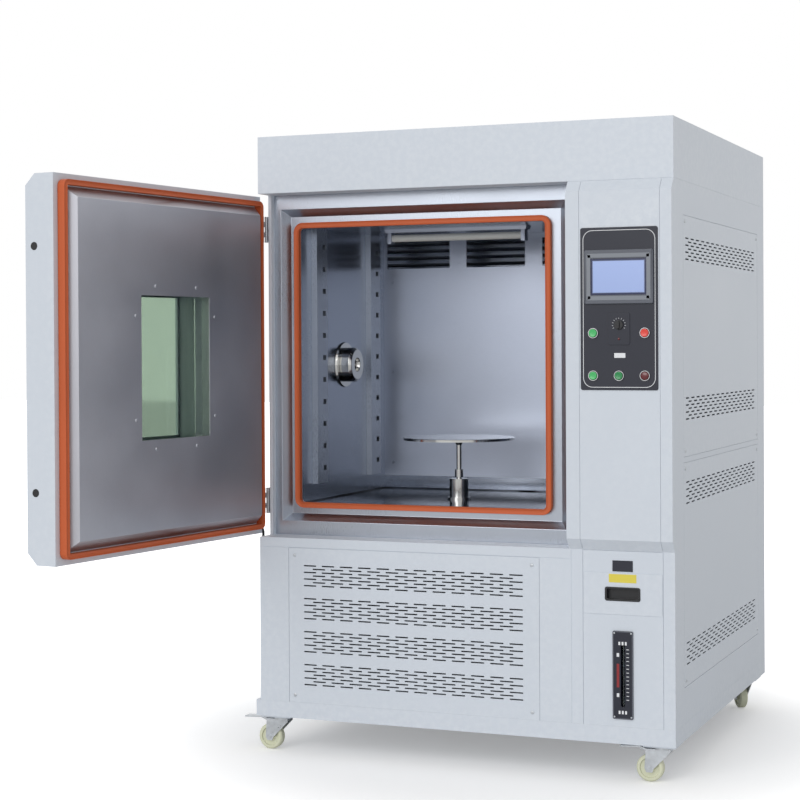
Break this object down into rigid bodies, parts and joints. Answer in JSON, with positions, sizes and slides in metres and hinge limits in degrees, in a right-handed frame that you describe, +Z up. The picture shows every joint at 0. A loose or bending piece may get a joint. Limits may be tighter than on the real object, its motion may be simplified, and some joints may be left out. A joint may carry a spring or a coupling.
{
  "type": "environmental test chamber",
  "caption": "Floor-standing climatic test cabinet with a swung-open insulated door, steel chamber with turntable, control column, drawer and casters.",
  "frame": {"origin": "on the floor under the middle of the whole part with its door open", "axes": "+Z up, +Y into the cabinet from its front, +X to the right seen from the front"},
  "size_m": [1.5126, 2.0982, 1.8],
  "materials": {
    "paint_light": "satin pale grey-blue powder coat",
    "paint_lip": "satin pale powder coat",
    "door_paint": "powder-coated skin over a foam core",
    "stainless": "brushed stainless sheet",
    "stainless_core": "brushed stainless skin over a foam core",
    "stainless_bright": "turned stainless",
    "silicone": "orange silicone rubber",
    "glass": "clear glass",
    "panel_dark": "satin near-black panel",
    "plastic_grey": "moulded grey plastic",
    "plastic_black": "moulded black plastic",
    "screen": "lit screen glass",
    "button_green": "green cap",
    "button_red": "red cap",
    "lamp_red": "dark red lens",
    "chrome": "plated collar",
    "lamp_glass": "opal glass",
    "zinc": "zinc-plated pressed steel",
    "nylon": "cream nylon",
    "cable_black": "black cable jacket"
  },
  "bodies": {
    "cabinet": {"base_frame": "paint_lip", "cabinet_shell": "paint_light", "top_hood": "paint_light", "control_column": "paint_light", "column_cover": "paint_light", "control_panel": "panel_dark", "hmi_bezel": "plastic_grey", "hmi_screen": "screen", "button_bezels": "chrome", "fault_lamp": "lamp_red", "lower_column_cover": "paint_light", "gauge_plate": "plastic_black", "gauge_tube": "glass", "grille_panel": "paint_light", "side_panel_upper": "paint_light", "side_panel_lower": "paint_light", "cabinet_screws": "chrome", "door_surround": "stainless", "cabinet_gasket": "silicone", "chamber_liner": "stainless", "port_sleeve": "stainless", "shelf_rails": "stainless", "back_baffle": "stainless", "floor_pan": "stainless", "lamp_housing": "stainless", "lamp_tube": "lamp_glass", "bearing_housing": "stainless_bright", "hinge_cabinet_leaves": "stainless_bright", "cable_gland_cabinet": "plastic_black", "power_gland": "plastic_black", "door_cable": "cable_black"},
    "door": {"door_shell": "door_paint", "door_liner": "stainless_core", "door_gasket": "silicone", "window_panes": "glass", "hinge_door_leaves": "stainless_bright", "cable_gland_door": "plastic_black"},
    "door_lever": {"door_handle": "chrome"},
    "door_bolts": {"latch_bolts": "stainless_bright"},
    "drawer_unit": {"drawer": "paint_light", "drawer_handle": "plastic_black"},
    "plug": {"port_plug": "stainless_bright"},
    "turntable": {"turntable_shaft": "stainless_bright", "turntable_disc": "stainless"},
    "fan": {"fan_wheel": "stainless"},
    "knob": {"limit_knob": "plastic_black"},
    "run": {"run_button": "button_green"},
    "stop": {"stop_button": "button_red"},
    "light": {"light_button": "button_green"},
    "power": {"power_button": "button_green"},
    "swivel_front_left": {"fork_front_left": "zinc"},
    "roller_front_left": {"wheel_front_left": "nylon"},
    "brake_front_left": {"pedal_front_left": "zinc"},
    "swivel_front_right": {"fork_front_right": "zinc"},
    "roller_front_right": {"wheel_front_right": "nylon"},
    "brake_front_right": {"pedal_front_right": "zinc"},
    "swivel_rear_left": {"fork_rear_left": "zinc"},
    "roller_rear_left": {"wheel_rear_left": "nylon"},
    "swivel_rear_right": {"fork_rear_right": "zinc"},
    "roller_rear_right": {"wheel_rear_right": "nylon"}
  },
  "joints": [
    {"name": "door_hinge", "type": "hinge", "parent": "cabinet", "child": "door", "pos_m": [-0.49771, -0.1049, 1.132], "axis": [0, 0, -1], "range_deg": [-97, 8], "deforming": ["door_cable"]},
    {"name": "lever_turn", "type": "hinge", "parent": "door", "child": "door_lever", "pos_m": [-0.70954, -0.96853, 1.132], "axis": [-0.9925, 0.1219, 0], "range_deg": [0, 90]},
    {"name": "bolt_slide", "type": "slide", "parent": "door", "child": "door_bolts", "axis": [-0.1219, -0.9925, 0], "range_m": [0, 0.012]},
    {"name": "drawer_slide", "type": "slide", "parent": "cabinet", "child": "drawer_unit", "axis": [0, -1, 0], "range_m": [0, 0.32]},
    {"name": "plug_slide", "type": "slide", "parent": "cabinet", "child": "plug", "axis": [1, 0, 0], "range_m": [0, 0.12]},
    {"name": "turntable_spin", "type": "hinge", "parent": "cabinet", "child": "turntable", "pos_m": [-0.02171, 0.2451, 0.908], "axis": [0, 0, 1], "continuous": true},
    {"name": "fan_spin", "type": "hinge", "parent": "cabinet", "child": "fan", "pos_m": [-0.02171, 0.7151, 1.15], "axis": [0, 1, 0], "continuous": true},
    {"name": "knob_turn", "type": "hinge", "parent": "cabinet", "child": "knob", "pos_m": [0.60979, -0.21191, 1.241], "axis": [0, -1, 0], "range_deg": [0, 270]},
    {"name": "run_press", "type": "slide", "parent": "cabinet", "child": "run", "axis": [0, 1, 0], "range_m": [0, 0.003], "stiffness_N_per_m": 600, "springref_m": -0.001},
    {"name": "stop_press", "type": "slide", "parent": "cabinet", "child": "stop", "axis": [0, 1, 0], "range_m": [0, 0.003], "stiffness_N_per_m": 600, "springref_m": -0.001},
    {"name": "light_press", "type": "slide", "parent": "cabinet", "child": "light", "axis": [0, 1, 0], "range_m": [0, 0.003], "stiffness_N_per_m": 600, "springref_m": -0.001},
    {"name": "power_press", "type": "slide", "parent": "cabinet", "child": "power", "axis": [0, 1, 0], "range_m": [0, 0.003], "stiffness_N_per_m": 600, "springref_m": -0.001},
    {"name": "swivel_front_left", "type": "hinge", "parent": "cabinet", "child": "swivel_front_left", "pos_m": [-0.43871, -0.1349, 0.105], "axis": [0, 0, 1], "continuous": true},
    {"name": "roll_front_left", "type": "hinge", "parent": "swivel_front_left", "child": "roller_front_left", "pos_m": [-0.47371, -0.1349, 0.0375], "axis": [0, 1, 0], "continuous": true},
    {"name": "brake_front_left", "type": "hinge", "parent": "swivel_front_left", "child": "brake_front_left", "pos_m": [-0.47671, -0.1349, 0.0845], "axis": [0, -1, 0], "range_deg": [0, 12]},
    {"name": "swivel_front_right", "type": "hinge", "parent": "cabinet", "child": "swivel_front_right", "pos_m": [0.70729, -0.1349, 0.105], "axis": [0, 0, 1], "continuous": true},
    {"name": "roll_front_right", "type": "hinge", "parent": "swivel_front_right", "child": "roller_front_right", "pos_m": [0.67229, -0.1349, 0.0375], "axis": [0, 1, 0], "continuous": true},
    {"name": "brake_front_right", "type": "hinge", "parent": "swivel_front_right", "child": "brake_front_right", "pos_m": [0.66929, -0.1349, 0.0845], "axis": [0, -1, 0], "range_deg": [0, 12]},
    {"name": "swivel_rear_left", "type": "hinge", "parent": "cabinet", "child": "swivel_rear_left", "pos_m": [-0.43871, 0.9301, 0.105], "axis": [0, 0, 1], "continuous": true},
    {"name": "roll_rear_left", "type": "hinge", "parent": "swivel_rear_left", "child": "roller_rear_left", "pos_m": [-0.45621, 0.96041, 0.0375], "axis": [0.866, 0.5, 0], "continuous": true},
    {"name": "swivel_rear_right", "type": "hinge", "parent": "cabinet", "child": "swivel_rear_right", "pos_m": [0.70729, 0.9301, 0.105], "axis": [0, 0, 1], "continuous": true},
    {"name": "roll_rear_right", "type": "hinge", "parent": "swivel_rear_right", "child": "roller_rear_right", "pos_m": [0.68979, 0.96041, 0.0375], "axis": [0.866, 0.5, 0], "continuous": true}
  ],
  "couplings": [
    {"joint": "bolt_slide", "follows": "lever_turn", "m_per_rad": 0.0076394}
  ]
}
